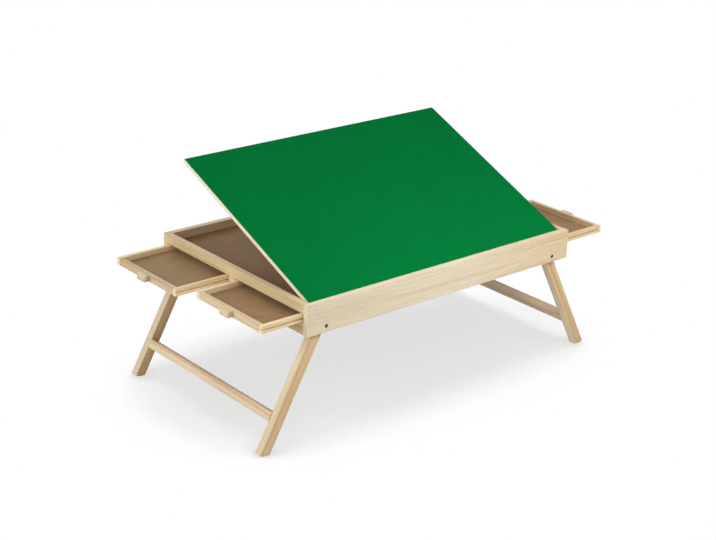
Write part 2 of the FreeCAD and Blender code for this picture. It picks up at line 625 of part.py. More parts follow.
def build():
    apron = front_apron()
    save(apron, "front_apron")
    save(mirror_y(apron), "back_apron")
    for name, piece in {"top_rail": left_top_rail(), "bottom_rail": left_bottom_rail()}.items():
        save(piece, "left_" + name)
        save(mirror_x(piece), "right_" + name)
    save(both_ends(left_centre_post()), "centre_posts")
    save(both_ends(left_leg_stop()), "leg_stop_battens")
    save(tray_floor(), "tray_floor")
    save(centre_divider(), "centre_divider")
    save(drawer_runners(), "drawer_runners")
    save(drawer_stops(), "drawer_stops")
    save(four(leg_bolt), "leg_bolts")
    save(four(leg_nut), "leg_nuts")
    leg = left_front_leg()
    stretcher = left_stretcher()
    save(leg, "left_front_leg")
    save(mirror_y(leg), "left_back_leg")
    save(stretcher, "left_stretcher")
    save(mirror_x(leg), "right_front_leg")
    save(mirror_y(mirror_x(leg)), "right_back_leg")
    save(mirror_x(stretcher), "right_stretcher")
    pieces = drawer_pieces()
    corners = {"front_left": (False, False, PULL_FRONT_LEFT), "back_left": (False, True, PULL_BACK_LEFT),
               "front_right": (True, False, PULL_FRONT_RIGHT), "back_right": (True, True, PULL_BACK_RIGHT)}
    for corner, (right, back, pull) in corners.items():
        for name, piece in pieces.items():
            save(place_drawer(piece, right, back, pull), corner + "_drawer_" + name)
    save(board_sheet(BATTEN_THICK, PANEL_THICK), "board_panel")
    save(board_sheet(BATTEN_THICK + PANEL_THICK, FELT_THICK), "felt_cover")
    save(board_long_batten(0), "board_front_batten")
    save(board_long_batten(BOARD_DEPTH - BATTEN_WIDTH), "board_back_batten")
    save(both_ends(board_left_batten()), "board_side_battens")
    save(Part.makeCompound([hinge_leaf(x, "lower") for x in HINGE_PLACES]), "lower_hinge_leaves")
    save(Part.makeCompound([tilted(hinge_leaf(x, "upper")) for x in HINGE_PLACES]), "upper_hinge_leaves")
    save(Part.makeCompound([hinge_pin(x) for x in HINGE_PLACES]), "hinge_pins")
    save(front_ledge(), "front_ledge")
    save(back_ledge(), "back_ledge")
    save(both_ends(prop_arm(-PROP_ARM_X)), "prop_arms")
    save(prop_cross_bar(), "prop_cross_bar")
    save(prop_foot_rod(), "prop_foot_rod")
    save(both_ends(thumb_nut(GUIDE_X)), "prop_thumb_nuts")
    save(both_ends(prop_bracket(-PROP_ARM_X)), "prop_brackets")
    save(both_ends(prop_pin(-PROP_ARM_X)), "prop_pins")
    save(both_ends(prop_guide()), "prop_guides")


build()
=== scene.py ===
import json
import math
import random

import bmesh
import bpy
from mathutils import Matrix, Vector, noise


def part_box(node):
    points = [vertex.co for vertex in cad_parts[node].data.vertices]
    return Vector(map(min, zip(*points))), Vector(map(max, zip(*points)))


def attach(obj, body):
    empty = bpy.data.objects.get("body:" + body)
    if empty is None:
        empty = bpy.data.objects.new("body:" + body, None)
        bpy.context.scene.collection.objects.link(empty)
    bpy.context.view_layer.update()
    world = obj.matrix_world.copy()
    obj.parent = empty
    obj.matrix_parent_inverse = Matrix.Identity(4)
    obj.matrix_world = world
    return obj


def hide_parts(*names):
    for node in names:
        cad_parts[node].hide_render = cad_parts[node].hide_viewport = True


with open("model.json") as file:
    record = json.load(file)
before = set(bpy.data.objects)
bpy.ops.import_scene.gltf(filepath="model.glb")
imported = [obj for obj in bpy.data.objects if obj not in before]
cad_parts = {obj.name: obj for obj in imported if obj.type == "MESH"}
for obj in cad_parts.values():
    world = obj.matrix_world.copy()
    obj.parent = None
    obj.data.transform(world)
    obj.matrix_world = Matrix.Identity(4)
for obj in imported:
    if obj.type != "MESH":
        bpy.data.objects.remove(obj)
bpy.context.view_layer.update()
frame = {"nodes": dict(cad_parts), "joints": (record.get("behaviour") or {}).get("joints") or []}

# Looks of the jigsaw puzzle table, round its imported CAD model: a material for every node, the felt
# sheet and knurled nuts that replace two nodes, washers and screws, then floor, lamps and camera.
# Lengths are in metres, in the model's own axes: X to the right, Y to the back, Z up.

MM = 0.001                              # a millimetre

# ---- camera ----
CAMERA_AZIMUTH = math.radians(40.93)
CAMERA_ELEVATION = math.radians(21.84)
CAMERA_ROLL = math.radians(1.99)
CAMERA_DISTANCE = 3.5793
CAMERA_LENS = 77.30                     # mm
SENSOR_WIDTH = 36.0                     # mm
AIM = Vector((0.0, -0.0006, 0.252))     # under the tray, at the middle of the table
AIM_RIGHT = 0.02397                     # how far AIM stands right of the picture's centre,
AIM_UP = 0.02499                        # and above it

# ---- how the table stands at rest ----
SPLAY = math.radians(28.4)              # legs, from the vertical
TILT = math.radians(23.0)               # board, from flat
PROP_LEAN = math.radians(32.2)          # prop's arms, below the horizontal
HINGE = Vector(next(joint for joint in frame["joints"] if joint["name"] == "board_tilt")["pos_m"])

# ---- grain directions ----
ALONG_X = Vector((1, 0, 0))
ALONG_Y = Vector((0, 1, 0))
ALONG_Z = Vector((0, 0, 1))
UP_BOARD = Vector((0, math.cos(TILT), math.sin(TILT)))
DOWN_LEFT_LEG = Vector((-math.sin(SPLAY), 0, -math.cos(SPLAY)))
DOWN_RIGHT_LEG = Vector((math.sin(SPLAY), 0, -math.cos(SPLAY)))
DOWN_PROP = Vector((0, math.cos(PROP_LEAN), -math.sin(PROP_LEAN)))


# ---- helpers for node materials: a name that ends in _out gives a node's output ----

def new_tree(name):
    """A fresh material, its node tree and its principled shader."""
    material = bpy.data.materials.new(name)
    material.use_nodes = True
    tree = material.node_tree
    return material, tree, tree.nodes["Principled BSDF"]


def feed(tree, node, inputs):
    """Set a node's inputs; each is either a value or another node's output."""
    for key, value in inputs.items():
        if isinstance(value, bpy.types.NodeSocket):
            tree.links.new(value, node.inputs[key])
        else:
            node.inputs[key].default_value = value


def add(tree, kind, inputs=None, **settings):
    """Add a node."""
    made = tree.nodes.new(kind)
    for key, value in settings.items():
        setattr(made, key, value)
    feed(tree, made, inputs or {})
    return made


def math_out(tree, operation, a, b=0.0):
    return add(tree, "ShaderNodeMath", {0: a, 1: b}, operation=operation).outputs[0]


def vector_out(tree, operation, a, b=(0.0, 0.0, 0.0)):
    """A vector, or the number that a dot product or length is."""
    made = add(tree, "ShaderNodeVectorMath", {0: a, 1: b}, operation=operation)
    return made.outputs["Value" if operation in ("DOT_PRODUCT", "LENGTH") else "Vector"]


def range_out(tree, value, low, high, to_low, to_high, **settings):
    """Map a value from one range to another, clamped."""
    inputs = {"Value": value, "From Min": low, "From Max": high,
              "To Min": to_low, "To Max": to_high}
    return add(tree, "ShaderNodeMapRange", inputs, **settings).outputs[0]


def scaled_out(tree, vector, scale):
    return add(tree, "ShaderNodeMapping", {"Vector": vector, "Scale": scale}).outputs[0]


def turned_out(tree, vector, rotation):
    return add(tree, "ShaderNodeMapping", {"Vector": vector, "Rotation": rotation}).outputs[0]


def noise_out(tree, vector, scale=1.0, detail=3.0, roughness=0.55, distortion=0.0):
    inputs = {"Vector": vector, "Scale": scale, "Detail": detail, "Roughness": roughness,
              "Distortion": distortion}
    return add(tree, "ShaderNodeTexNoise", inputs).outputs[0]


def noise_vector_out(tree, vector, scale, detail):
    """A smooth random vector, each part from 0 to 1."""
    inputs = {"Vector": vector, "Scale": scale, "Detail": detail}
    return add(tree, "ShaderNodeTexNoise", inputs).outputs[1]


def soft_normal_out(tree, radius):
    """The surface's normal, turned towards its neighbour's within a radius of an edge."""
    return add(tree, "ShaderNodeBevel", {"Radius": radius}, samples=4).outputs[0]


def bump_out(tree, height, strength, distance, **more):
    inputs = {"Height": height, "Strength": strength, "Distance": distance, **more}
    return add(tree, "ShaderNodeBump", inputs).outputs[0]


def mix_out(tree, factor, a, b, blend="MIX"):
    """Mix two colours."""
    made = add(tree, "ShaderNodeMix", {0: factor, 6: a, 7: b},
               data_type="RGBA", blend_type=blend)
    return made.outputs[2]


def times_out(tree, colour, tint):
    return mix_out(tree, 1.0, colour, tint, "MULTIPLY")


def tint_out(tree, colour, tint, where, low, high, share=1.0):
    """Lay a tint over a colour where a value goes from low to high, up to a share of it."""
    return mix_out(tree, range_out(tree, where, low, high, 0.0, share), colour, tint)


def grey_ramp_out(tree, factor, stops):
    """Ramp of greys from (position, level) stops."""
    made = add(tree, "ShaderNodeValToRGB", {0: factor})
    elements = made.color_ramp.elements
    while len(elements) < len(stops):
        elements.new(0.5)
    for element, (position, level) in zip(elements, stops):
        element.position = position
        element.color = grey(level)
    return made.outputs[0]


def grey(level):
    return (level, level, level, 1.0)


def shade(colour, factor):
    return tuple(channel * factor for channel in colour)


def opaque(colour, factor=1.0):
    """The colour, paler or darker by a factor, as a node takes it."""
    return (*shade(colour, factor), 1.0)


# ---- wood ----

# linear colours of early and late wood
APRON_WOOD = ((0.840, 0.730, 0.540), (0.750, 0.605, 0.405))
# the back apron's wood, darker than the front apron's: painted shade
BACK_APRON_SHADED_WOOD = ((0.740, 0.600, 0.400), (0.600, 0.430, 0.240))
RAIL_WOOD = ((0.760, 0.590, 0.345), (0.540, 0.365, 0.170))
DRAWER_WOOD = ((0.720, 0.575, 0.370), (0.545, 0.382, 0.198))
# the drawer sides' wood, paler than the drawer fronts': painted light
DRAWER_SIDE_LIT_WOOD = ((0.930, 0.765, 0.490), (0.700, 0.495, 0.255))
LEG_WOOD = ((0.875, 0.757, 0.555), (0.650, 0.472, 0.268))
PLY_WOOD = ((0.930, 0.870, 0.700), (0.840, 0.730, 0.540))
PAINTED_SHADE_TINT = (0.955, 0.840, 0.670, 1.0)  # painted shade: darker and yellower, over the wood's own colour
END_TINT = (0.965, 0.935, 0.89, 1.0)    # end grain, which drinks more lacquer

# figure of the log: scales per metre, along the grain and across it
BEND_SCALE = (1.6, 9.0, 9.0)
BEND = 0.016                            # how far the log bends
UNEVEN_SCALE = (0.5, 40.0, 40.0)
UNEVEN_RINGS = 1.6                      # how many rings the uneven growth shifts them by
RING_TONES = ((0.0, 0.12), (0.55, 0.30), (0.86, 0.95), (1.0, 0.12))
FIBRE_SCALE = (14.0, 1100.0, 1100.0)
FIBRE_TONES = ((0.30, 0.90), (0.68, 1.05))
COARSE_SCALE = (5.0, 260.0, 260.0)
COARSE_TONES = ((0.30, 0.92), (0.62, 1.03))
STREAK_SCALE = (1.3, 60.0, 60.0)
BOARD_TONE_SCALE = (2.2, 7.0, 7.0)
PORE_SCALE = (70.0, 1500.0, 1500.0)
WORN_SCALE = 46.0                       # blots of wear
WORN_REACH = 2.2 * MM                   # how far from an edge hands have rubbed
EDGE_ROUND = 0.7 * MM                   # an edge's radius as the light sees it
WOOD_GLOSS = 0.22


def log_out(tree, place, grain, centre, seed, pith):
    """The piece's points as points of its log, whose pith is the X axis."""
    dice = random.Random(seed)
    turn = grain.rotation_difference(ALONG_X).to_matrix()
    angle = dice.uniform(0.0, 2.0 * math.pi)
    reach = pith * dice.uniform(0.85, 1.35)
    log = Vector((dice.uniform(-3.0, 3.0), reach * math.cos(angle), reach * math.sin(angle)))
    inputs = {"Vector": place, "Rotation": turn.to_euler(), "Location": log - turn @ centre}
    return add(tree, "ShaderNodeMapping", inputs).outputs[0]


def bent_out(tree, aligned):
    """The log bends a little along its length."""
    bend = noise_vector_out(tree, scaled_out(tree, aligned, BEND_SCALE), 1.0, 1.5)
    bend = vector_out(tree, "SUBTRACT", bend, (0.5, 0.5, 0.5))
    return vector_out(tree, "ADD", aligned, vector_out(tree, "MULTIPLY", bend, (0.0, BEND, BEND)))


def rings_out(tree, aligned, bent, ring):
    """Growth rings: late wood darkens slowly and ends sharply."""
    split = add(tree, "ShaderNodeSeparateXYZ", {0: bent}).outputs
    across = add(tree, "ShaderNodeCombineXYZ", {1: split[1], 2: split[2]}).outputs[0]
    count = math_out(tree, "DIVIDE", vector_out(tree, "LENGTH", across), ring)
    uneven = noise_out(tree, scaled_out(tree, aligned, UNEVEN_SCALE), detail=1.0)
    count = math_out(tree, "ADD", count, math_out(tree, "MULTIPLY", uneven, UNEVEN_RINGS))
    return grey_ramp_out(tree, math_out(tree, "FRACT", count), RING_TONES)


def rubbed_out(tree, place):
    """Share of wear from hands: blots along the edges."""
    plain = add(tree, "ShaderNodeNewGeometry").outputs["Normal"]
    turned = vector_out(tree, "DOT_PRODUCT", soft_normal_out(tree, WORN_REACH), plain)
    edge = range_out(tree, turned, 0.995, 0.88, 0.0, 1.0)
    blot = noise_out(tree, place, scale=WORN_SCALE)
    return math_out(tree, "MULTIPLY", edge, range_out(tree, blot, 0.35, 0.65, 0.10, 0.42))


def wood(name, grain, centre, seed, tones, ring=0.0052, pith=0.13, streak=0.5, lines=0.5,
         heart=None):
    """Solid wood cut from a log, lacquered.

    ring is the width of a growth ring and pith about how far the piece is from the pith; streak and
    lines are the strength of the figure; heart is where painted shade makes it darker and
    yellower: a direction, and how far from the middle that starts and is full.
    """
    light, dark = tones
    material, tree, shader = new_tree(name)
    coordinates = add(tree, "ShaderNodeTexCoord").outputs
    place = coordinates["Object"]
    aligned = log_out(tree, place, grain, centre, seed, pith)
    bent = bent_out(tree, aligned)
    late = rings_out(tree, aligned, bent, ring)
    fibre = noise_out(tree, scaled_out(tree, bent, FIBRE_SCALE), detail=2.0, roughness=0.6)
    coarse = noise_out(tree, scaled_out(tree, bent, COARSE_SCALE), detail=2.0)
    streaks = noise_out(tree, scaled_out(tree, bent, STREAK_SCALE), detail=2.0)
    board_tone = noise_out(tree, scaled_out(tree, aligned, BOARD_TONE_SCALE), detail=1.0)
    pores = noise_out(tree, scaled_out(tree, aligned, PORE_SCALE), detail=0.0)

    strength = range_out(tree, streaks, 0.30, 0.70, 0.15 * lines, lines)
    late_share = math_out(tree, "MULTIPLY", late, strength)
    colour = mix_out(tree, late_share, opaque(light), opaque(dark))
    warm = (dark[0] * 0.97, dark[1] * 0.90, dark[2] * 0.90, 1.0)
    colour = tint_out(tree, colour, warm, streaks, 0.50, 0.74, streak + 0.4 * lines)
    colour = tint_out(tree, colour, opaque(dark, 1.06), board_tone, 0.35, 0.70, 0.35 * lines)
    colour = times_out(tree, colour, grey_ramp_out(tree, fibre, FIBRE_TONES))
    colour = times_out(tree, colour, grey_ramp_out(tree, coarse, COARSE_TONES))
    # painted shade: darker and yellower towards one side of the piece
    if heart:
        side, start, full = heart
        reach = vector_out(tree, "DOT_PRODUCT", place, tuple(side))
        reach = math_out(tree, "SUBTRACT", reach, centre.dot(side))
        shaded_tone = times_out(tree, colour, PAINTED_SHADE_TINT)
        colour = tint_out(tree, colour, shaded_tone, reach, start, full)
    colour = tint_out(tree, colour, opaque(dark, 0.55), pores, 0.70, 0.80, 0.35)
    facing = vector_out(tree, "DOT_PRODUCT", coordinates["Normal"], tuple(grain))
    facing = math_out(tree, "ABSOLUTE", facing)
    colour = tint_out(tree, colour, times_out(tree, colour, END_TINT), facing, 0.75, 0.95)
    colour = mix_out(tree, rubbed_out(tree, place), colour, opaque(dark, 0.86))

    relief = math_out(tree, "ADD", math_out(tree, "MULTIPLY", fibre, 0.6),
                      math_out(tree, "MULTIPLY", late, -0.5))
    feed(tree, shader, {
        "Base Color": colour,
        "Roughness": range_out(tree, coarse, 0.3, 0.7, 0.50, 0.40),
        "Specular IOR Level": WOOD_GLOSS,
        "Normal": bump_out(tree, relief, strength=0.30, distance=0.12 * MM,
                           Normal=soft_normal_out(tree, EDGE_ROUND)),
    })
    return material


def plywood(name, grain, centre, seed):
    """Thin panel with the broad figure of rotary-cut veneer."""
    return wood(name, grain, centre, seed, PLY_WOOD, ring=0.0125, pith=0.035, streak=0.35)


# ---- hardboard ----

TRAY_BOARD = (0.258, 0.145, 0.061)
# the tray's hardboard made paler: painted light
DRAWER_BOARD_LIT = (0.350, 0.222, 0.112)
MOTTLE_SCALE = 26.0                     # broad patches
GRIT_SCALE = 620.0                      # dark grains
HAIR_SCALE = (130.0, 900.0, 400.0)      # short pale fibres, lying both ways
CROSS_HAIR_SCALE = (860.0, 150.0, 400.0)
HARDBOARD_GLOSS = 0.07


def hardboard(name, base):
    """Pressed brown fibreboard: mottled, with short pale fibres and a faint polish."""
    material, tree, shader = new_tree(name)
    place = add(tree, "ShaderNodeTexCoord").outputs["Object"]
    mottle = noise_out(tree, place, scale=MOTTLE_SCALE, detail=4.0)
    grit = noise_out(tree, place, scale=GRIT_SCALE, roughness=0.7)
    hairs, cross_hairs = (
        noise_out(tree, scaled_out(tree, place, scale), detail=2.0, distortion=1.2)
        for scale in (HAIR_SCALE, CROSS_HAIR_SCALE))
    colour = tint_out(tree, opaque(base, 0.84), opaque(base, 1.14), mottle, 0.32, 0.68)
    colour = tint_out(tree, colour, opaque(base, 0.62), grit, 0.40, 0.75, 0.55)
    colour = tint_out(tree, colour, opaque(base, 1.75), hairs, 0.60, 0.74, 0.55)
    colour = tint_out(tree, colour, opaque(base, 1.6), cross_hairs, 0.61, 0.74, 0.45)
    relief = math_out(tree, "ADD", grit, math_out(tree, "MULTIPLY", hairs, 0.6))
    feed(tree, shader, {
        "Base Color": colour,
        "Roughness": range_out(tree, mottle, 0.3, 0.7, 0.46, 0.60),
        "Specular IOR Level": HARDBOARD_GLOSS,
        "Normal": bump_out(tree, relief, strength=0.35, distance=0.10 * MM),
    })
    return material


# ---- felt ----

FELT = (0.0006, 0.188, 0.038)
FELT_PAINTED_HIGHLIGHT = (0.002, 0.255, 0.058, 1.0)  # painted highlight on fibres that stand up into the light
CLOUD_SCALE = 9.0                       # soft patches
WARP_SCALE = 240.0
WARP = (0.004, 0.004, 0.0)              # how far the fibres are bent aside
GAP_SHADE_SCALE = 1500.0                      # painted shade in the gaps between the fibres
FELT_FIBRE_SCALE = (260.0, 2100.0, 800.0)
FELT_FIBRE_TURNS = (0.3, 1.35, 2.4)     # radians: the directions that its fibres lie in


def felt(name):
    """Short dense green nap: matted fibres in all directions, soft clouds and a faint sheen; painted
    highlights on the fibres and painted shade between them.
    """
    material, tree, shader = new_tree(name)
    lay = turned_out(tree, add(tree, "ShaderNodeTexCoord").outputs["Object"], (-TILT, 0, 0))
    cloud = noise_out(tree, lay, scale=CLOUD_SCALE)
    warp = vector_out(tree, "MULTIPLY", noise_vector_out(tree, lay, WARP_SCALE, 2.0), WARP)
    matted = vector_out(tree, "ADD", lay, warp)
    layers = []
    for turn in FELT_FIBRE_TURNS:
        combed = scaled_out(tree, turned_out(tree, matted, (0, 0, turn)), FELT_FIBRE_SCALE)
        layers.append(noise_out(tree, combed, detail=2.0, roughness=0.6))
    fibres = math_out(tree, "MAXIMUM", math_out(tree, "MAXIMUM", layers[0], layers[1]), layers[2])
    shaded_gaps = noise_out(tree, lay, scale=GAP_SHADE_SCALE, detail=2.0, roughness=0.7)
    colour = tint_out(tree, opaque(FELT, 0.95), opaque(FELT, 1.05), cloud, 0.3, 0.7)
    # painted highlight on the fibres that stand up
    colour = tint_out(tree, colour, FELT_PAINTED_HIGHLIGHT, fibres, 0.50, 0.72, 0.60)
    # painted shade low among the fibres, and in the gaps between them
    colour = tint_out(tree, colour, opaque(FELT, 0.62), fibres, 0.56, 0.44, 0.55)
    colour = tint_out(tree, colour, opaque(FELT, 0.55), shaded_gaps, 0.56, 0.72, 0.40)
    relief = math_out(tree, "ADD", fibres, math_out(tree, "MULTIPLY", shaded_gaps, 0.5))
    feed(tree, shader, {
        "Base Color": colour,
        "Roughness": 0.95,
        "Specular IOR Level": 0.02,
        "Sheen Weight": 0.02,
        "Sheen Roughness": 0.45,
        "Sheen Tint": (0.10, 0.75, 0.30, 1.0),
        "Normal": bump_out(tree, relief, strength=0.55, distance=0.25 * MM),
    })
    return material


# ---- metal ----

# linear colours
ZINC = (0.80, 0.80, 0.78)
BRIGHT_STEEL = (0.82, 0.82, 0.81)
BRONZE = (0.170, 0.100, 0.035)
BRASS = (0.70, 0.50, 0.22)
SCREW_STEEL = (0.70, 0.69, 0.66)
ROLLED = (40.0, 900.0, 900.0)           # scale of fine rolling lines
DRAWN = (30.0, 30.0, 30.0)              # scale of a bright rod's smooth skin
BLOTCH_SCALE = 170.0                    # stains in the plating
METAL_ROUND = 0.3 * MM                  # an edge's radius as the light sees it


def metal(name, colour, roughness, lines=ROLLED, stain=0.7, metallic=1.0):
    """Small metal part: fine lines, dull edges and blotches, which darken it to a share, stain."""
    material, tree, shader = new_tree(name)
    place = add(tree, "ShaderNodeTexCoord").outputs["Object"]
    line = noise_out(tree, scaled_out(tree, place, lines), detail=2.0)
    blotch = noise_out(tree, place, scale=BLOTCH_SCALE, detail=4.0)
    rough = math_out(
        tree, "ADD", range_out(tree, line, 0.3, 0.7, -0.06, 0.08),
        range_out(tree, blotch, 0.3, 0.7, roughness - 0.05, roughness + 0.08))
    feed(tree, shader, {
        "Base Color": tint_out(tree, opaque(colour, stain), opaque(colour), blotch, 0.35, 0.65),
        "Roughness": rough,
        "Metallic": metallic,
        "Normal": bump_out(tree, line, strength=0.10, distance=0.05 * MM,
                           Normal=soft_normal_out(tree, METAL_ROUND)),
    })
    return material


# ---- finishes of the CAD nodes ----

CORNERS = ("front_left", "back_left", "front_right", "back_right")
GRAIN = {
    "front_apron": ALONG_X, "back_apron": ALONG_X, "centre_divider": ALONG_X,
    "drawer_runners": ALONG_X, "front_ledge": ALONG_X, "back_ledge": ALONG_X,
    "board_front_batten": ALONG_X, "board_back_batten": ALONG_X, "prop_cross_bar": ALONG_X,
    "left_top_rail": ALONG_Y, "right_top_rail": ALONG_Y, "left_bottom_rail": ALONG_Y,
    "right_bottom_rail": ALONG_Y, "leg_stop_battens": ALONG_Y, "drawer_stops": ALONG_Y,
    "centre_posts": ALONG_Z, "board_side_battens": UP_BOARD, "prop_arms": DOWN_PROP,
}
for corner in CORNERS:
    GRAIN[corner + "_drawer_sides"] = ALONG_X
    for part in ("front", "back", "handle"):
        GRAIN[corner + "_drawer_" + part] = ALONG_Y
LEG_GRAIN = {
    "left_front_leg": DOWN_LEFT_LEG, "left_back_leg": DOWN_LEFT_LEG, "left_stretcher": ALONG_Y,
    "right_front_leg": DOWN_RIGHT_LEG, "right_back_leg": DOWN_RIGHT_LEG,
    "right_stretcher": ALONG_Y,
}
# painted light and shade: how much paler (over 1) or darker (under 1) a board is made than others of
# its kind
BOARD_PAINTED_LIGHT = {
    "back_left_drawer_front": 0.80, "back_left_drawer_handle": 0.90, "left_back_leg": 0.88,
    "left_stretcher": 0.94, "right_stretcher": 0.93, "right_front_leg": 0.98,
    "front_right_drawer_front": 1.15,
}
# where painted shade makes boards darker and yellower: a direction, and how far from the middle that
# starts and is full
PAINTED_SHADE_ALONG = {"front_apron": (ALONG_X, 0.05, 0.45), "back_left_drawer_front": (ALONG_Y, 0.02, 0.12)}
LEG_FRONT_PAINTED_SHADE = (-ALONG_Y, 8.6 * MM, 9.8 * MM)  # the same painted shade, on a leg's front face only

FIRST_LEG_SEED = 100
PANEL_SEED = 7
BOARD_EASE = 0.5 * MM                   # radius of the woodwork's broken edges
LEG_EASE = 0.8 * MM
EASED_FROM = math.radians(40.0)         # edges sharper than this are eased


def dress(node, material):
    """Give a CAD node one material."""
    mesh = frame["nodes"][node].data
    mesh.materials.clear()
    mesh.materials.append(material)


def centre_of(node):
    low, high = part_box(node)
    return (Vector(low) + Vector(high)) / 2.0


def dress_wood(node, grain, seed, kind, radius, **figure):
    """Give a solid wooden node its wood, and break its sharp edges."""
    # painted light and shade over the whole board
    tones = tuple(shade(tone, BOARD_PAINTED_LIGHT.get(node, 1.0)) for tone in kind)
    dress(node, wood("wood_" + node, grain, centre_of(node), seed, tones, **figure))
    ease = frame["nodes"][node].modifiers.new("eased_edges", "BEVEL")
    ease.width = radius
    ease.segments = 2
    ease.limit_method = "ANGLE"
    ease.angle_limit = EASED_FROM
    ease.use_clamp_overlap = True
    ease.harden_normals = True


def kind_of(node):
    """The wood of a board, and how strong its figure is."""
    if node.endswith("drawer_sides"):
        return DRAWER_SIDE_LIT_WOOD, 0.85
    if node.startswith(CORNERS):
        return DRAWER_WOOD, 0.85
    if node == "back_apron":
        return BACK_APRON_SHADED_WOOD, 0.60
    if node == "front_apron":
        return APRON_WOOD, 0.50
    if node.startswith("board_"):
        return PLY_WOOD, 0.50
    return RAIL_WOOD, 0.85


def dress_woodwork():
    """Each board is cut from its own place in a log, by its seed."""
    for seed, (node, grain) in enumerate(sorted(GRAIN.items())):
        kind, lines = kind_of(node)
        dress_wood(node, grain, seed, kind, BOARD_EASE, lines=lines, heart=PAINTED_SHADE_ALONG.get(node))
    for seed, (node, grain) in enumerate(sorted(LEG_GRAIN.items()), start=FIRST_LEG_SEED):
        # painted shade on the legs' front faces
        heart = LEG_FRONT_PAINTED_SHADE if node.endswith("leg") else None
        dress_wood(node, grain, seed, LEG_WOOD, LEG_EASE, ring=0.0058, lines=0.95, heart=heart)
    dress("board_panel", plywood("ply_panel", ALONG_X, centre_of("board_panel"), PANEL_SEED))


def dress_hardboard():
    """The tray's floor, and the drawer bottoms: the same hardboard made paler with painted light."""
    dress("tray_floor", hardboard("hardboard_tray", TRAY_BOARD))
    lit_hardboard = hardboard("hardboard_drawers_lit", DRAWER_BOARD_LIT)
    for corner in CORNERS:
        dress(corner + "_drawer_bottom", lit_hardboard)


def dress_metal():
    """Metal nodes, and the washers, screws and nuts that only this script makes."""
    zinc = metal("zinc_plate", ZINC, 0.42, stain=0.86, metallic=0.75)
    rods = metal("bright_rod", BRIGHT_STEEL, 0.34, DRAWN, stain=0.90, metallic=0.80)
    bronze = metal("dark_bronze", BRONZE, 0.40, stain=0.5, metallic=0.85)
    brass = metal("satin_brass", BRASS, 0.34)
    screws = metal("screw_steel", SCREW_STEEL, 0.42, stain=0.75, metallic=0.80)
    for node in ("lower_hinge_leaves", "upper_hinge_leaves", "prop_brackets", "prop_guides",
                 "leg_nuts"):
        dress(node, zinc)
    for node in ("hinge_pins", "prop_pins", "prop_foot_rod"):
        dress(node, rods)
    dress("leg_bolts", bronze)
    leg_washers(zinc)
    hinge_screws(screws)
    guide_screws(screws)
    bracket_screws(screws)
    thumb_nuts(brass)


# ---- mesh helpers ----

def tilted(offset):
    """Matrix of a shift by an offset from the hinge and then the board's tilt about it."""
    return (Matrix.Translation(HINGE) @ Matrix.Rotation(TILT, 4, "X")
            @ Matrix.Translation(offset))


def axes_from(up):
    """Rotation that turns local Z to the given direction."""
    return Vector((0, 0, 1)).rotation_difference(up).to_matrix().to_4x4()


def fill_grid(work, grid):
    """Smooth faces between the rows of a grid of vertices."""
    for near, far in zip(grid, grid[1:]):
        for i in range(len(near) - 1):
            work.faces.new((near[i], near[i + 1], far[i + 1], far[i])).smooth = True


def rim_places(rows, columns):
    """(row, column) of the points round a grid's edge."""
    places = [(0, i) for i in range(columns)] + [(j, columns) for j in range(rows)]
    places += [(rows, i) for i in range(columns, 0, -1)]
    return places + [(j, 0) for j in range(rows, 0, -1)]


def join_loops(work, first, second):
    """Band of faces between two closed loops of vertices; returns them."""
    band = []
    for k in range(len(first)):
        after = (k + 1) % len(first)
        band.append(work.faces.new((first[k], second[k], second[after], first[after])))
    return band


def finish_piece(work, name, material, body, slot_name):
    """Turn a drawn mesh into a piece that moves with a CAD body."""
    mesh = bpy.data.meshes.new(name)
    work.to_mesh(mesh)
    work.free()
    mesh.materials.append(material)
    piece = bpy.data.objects.new(name, mesh)
    bpy.context.scene.collection.objects.link(piece)
    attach(piece, body)
    return piece


def finish_metal(work, *facts):
    """The same for closed metal shapes, whose faces are first turned outwards."""
    bmesh.ops.recalc_face_normals(work, faces=work.faces)
    return finish_piece(work, *facts)


# ---- felt sheet ----

FELT_LENGTH = 0.746
FELT_WIDTH = 0.489
FELT_THICK = 0.0008
FELT_STEP = 0.004
EDGE_DROP = 0.35                        # share of the thickness by which a cut edge rolls down
EDGE_REACH = 0.0012                     # how far in from the edge that fades
SWELL = 0.00008                         # height of the soft unevenness
SWELL_SCALE = 28.0
EDGE_DEPTH = 0.6                        # height of the cut edge, as a share of the thickness


def felt_sheet():
    """The felt glued on the board: a fine sheet with rolled cut edges, built flat and tilted."""
    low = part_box("felt_cover")[0]
    turn = tilted(-HINGE)
    start = turn.inverted() @ Vector((low[0], low[1] + FELT_THICK * math.sin(TILT), low[2]))
    x0, y0 = low[0], start.y
    columns = round(FELT_LENGTH / FELT_STEP)
    rows = round(FELT_WIDTH / FELT_STEP)
    work = bmesh.new()
    grid = []
    for j in range(rows + 1):
        line = []
        for i in range(columns + 1):
            x = x0 + FELT_LENGTH * i / columns
            y = y0 + FELT_WIDTH * j / rows
            from_edge = min(x - x0, x0 + FELT_LENGTH - x, y - y0, y0 + FELT_WIDTH - y)
            roll = math.exp(-from_edge / EDGE_REACH)
            swell = SWELL * noise.noise(Vector((x * SWELL_SCALE, y * SWELL_SCALE, 3.0)))
            z = start.z + FELT_THICK * (1.0 - EDGE_DROP * roll) + swell
            line.append(work.verts.new(turn @ Vector((x, y, z))))
        grid.append(line)
    fill_grid(work, grid)
    rim = [grid[j][i] for j, i in rim_places(rows, columns)]
    up = turn.to_3x3() @ Vector((0, 0, 1))
    foot = [work.verts.new(vertex.co - up * FELT_THICK * EDGE_DEPTH) for vertex in rim]
    for face in join_loops(work, rim, foot):
        face.smooth = True
    sheet = finish_piece(work, "felt_sheet", felt("green_felt"), "board", "green_felt")
    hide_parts("felt_cover")


# ---- screws ----

